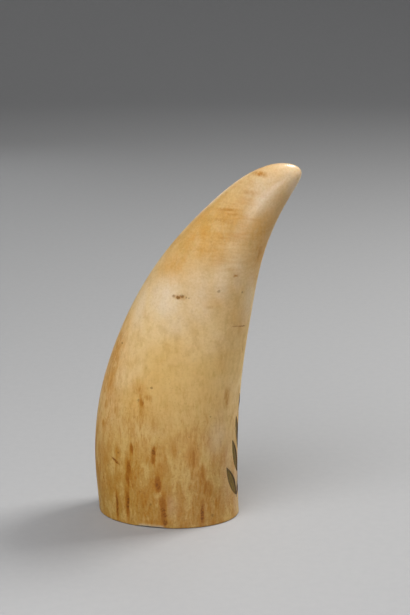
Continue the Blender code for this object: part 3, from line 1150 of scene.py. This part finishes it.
def ink_material():
    """Brown-black pigment in the engraved lines, paler where it has worn."""
    n = Nodes("engraving_ink")
    worn = n.rise(n.noise(n.place(), 700.0), 0.42, 0.7, 0.0, 0.7)
    faded = n.times(n.math("SUBTRACT", 1.0, n.attribute("fade")), 0.6)
    color = n.mix(n.math("MAXIMUM", worn, faded), *LINE_INK)
    n.put(Base_Color=color, Roughness=n.math("ADD", 0.45, n.times(worn, 0.15)))
    return n.material


def floor_material():
    """A plain pale floor."""
    n = Nodes("pale_floor")
    n.put(Base_Color=n.mix(n.noise(n.place(), 300.0, detail=2.0), *FLOOR_GREYS), Roughness=0.8)
    return n.material


def add_floor():
    """A round floor that curves up all around the tooth."""
    profile = [(FLOOR_FLAT * ring / FLOOR_FLAT_RINGS, 0.0) for ring in range(1, FLOOR_FLAT_RINGS + 1)]
    for ring in range(1, FLOOR_BEND_RINGS + 1):
        turn = FLOOR_BEND_TURN * ring / FLOOR_BEND_RINGS
        profile.append((FLOOR_FLAT + FLOOR_BEND * math.sin(turn), FLOOR_BEND * (1 - math.cos(turn))))
    around = np.linspace(0.0, math.tau, FLOOR_SIDES, endpoint=False)
    points = [(0.0, 0.0, -FLOOR_GAP)]
    for radius, height in profile:
        points.extend((radius * math.cos(a), radius * math.sin(a), height - FLOOR_GAP) for a in around)
    faces = [[0, 1 + side, 1 + (side + 1) % FLOOR_SIDES] for side in range(FLOOR_SIDES)]
    for ring in range(len(profile) - 1):
        low = 1 + ring * FLOOR_SIDES
        for side in range(FLOOR_SIDES):
            after = (side + 1) % FLOOR_SIDES
            faces.append([low + side, low + FLOOR_SIDES + side, low + FLOOR_SIDES + after, low + after])
    floor = mesh_object("studio_floor", points, faces, floor_material())


def direction(azimuth, elevation):
    """The direction of a place around the tooth: azimuth from +X towards +Y, both in degrees."""
    azimuth, elevation = math.radians(azimuth), math.radians(elevation)
    level = math.cos(elevation)
    return Vector((level * math.cos(azimuth), level * math.sin(azimuth), math.sin(elevation)))


def add_light(name, azimuth, elevation, distance, width, height, watts, color, effect):
    """A soft rectangular light that faces the tooth."""
    away = direction(azimuth, elevation) * distance
    light = bpy.data.lights.new(name, "AREA")
    light.shape = "RECTANGLE"
    light.size, light.size_y = width, height
    light.energy = watts
    light.color = color
    made = bpy.data.objects.new(name, light)
    made.location = Vector(LIGHTS_AIM) + away
    made.rotation_euler = away.to_track_quat("Z", "Y").to_euler()
    made.visible_diffuse = effect == "matt"
    made.visible_glossy = effect == "shine"
    made.visible_camera = False
    bpy.context.scene.collection.objects.link(made)


def add_studio():
    """Soft light as in the photograph, mostly from the right and behind, and a faint sky."""
    for name, values in LIGHTS.items():
        add_light(name, *values)
    world = bpy.data.worlds.new("studio")
    world.use_nodes = True
    background = world.node_tree.nodes["Background"]
    background.inputs["Color"].default_value = SKY_COLOR
    background.inputs["Strength"].default_value = SKY_STRENGTH
    bpy.context.scene.world = world


def add_camera(shift):
    """The camera at the photograph's angle."""
    back = direction(CAMERA_AZIMUTH, CAMERA_ELEVATION)
    camera = bpy.data.cameras.new("camera")
    camera.lens = CAMERA_LENS_MM
    camera.sensor_width = CAMERA_SENSOR_MM
    camera.clip_start, camera.clip_end = CAMERA_CLIP
    made = bpy.data.objects.new("camera", camera)
    made.location = Vector(CAMERA_AIM) + Vector(shift) + back * CAMERA_DISTANCE
    made.rotation_euler = back.to_track_quat("Z", "Y").to_euler()
    bpy.context.scene.collection.objects.link(made)
    bpy.context.scene.camera = made


def footprint_shift():
    """From the tooth's own frame to the row's: the form's box is centred on the node's."""
    shares = np.linspace(0.0, 1.0, 1201)[:, None]
    angles = np.linspace(0.0, math.tau, 361)[None, :]
    points = skin_points(shares, angles).reshape(-1, 3)
    middle = (points.min(axis=0) + points.max(axis=0)) / 2
    low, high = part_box("whale_tooth")
    wanted = (np.array(low) + np.array(high)) / 2
    return np.array([wanted[0] - middle[0], wanted[1] - middle[1], 0.0])


def main():
    shift = footprint_shift()
    relief = Relief()

    tooth = tooth_surface(relief, shift, Ivory(relief, shift).nodes.material)
    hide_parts("whale_tooth")
    strips = Strips(relief, shift)
    draw_stems(strips)
    draw_ship(strips)
    lines = strips.finish("engraved_lines", ink_material())
    leaves = leaf_pigment(relief, shift, pigment_material())
    for piece in (tooth, lines, leaves):
        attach(piece, "root")

    add_floor()
    add_studio()
    add_camera(shift)
    bpy.context.scene.view_settings.view_transform = "Standard"


main()
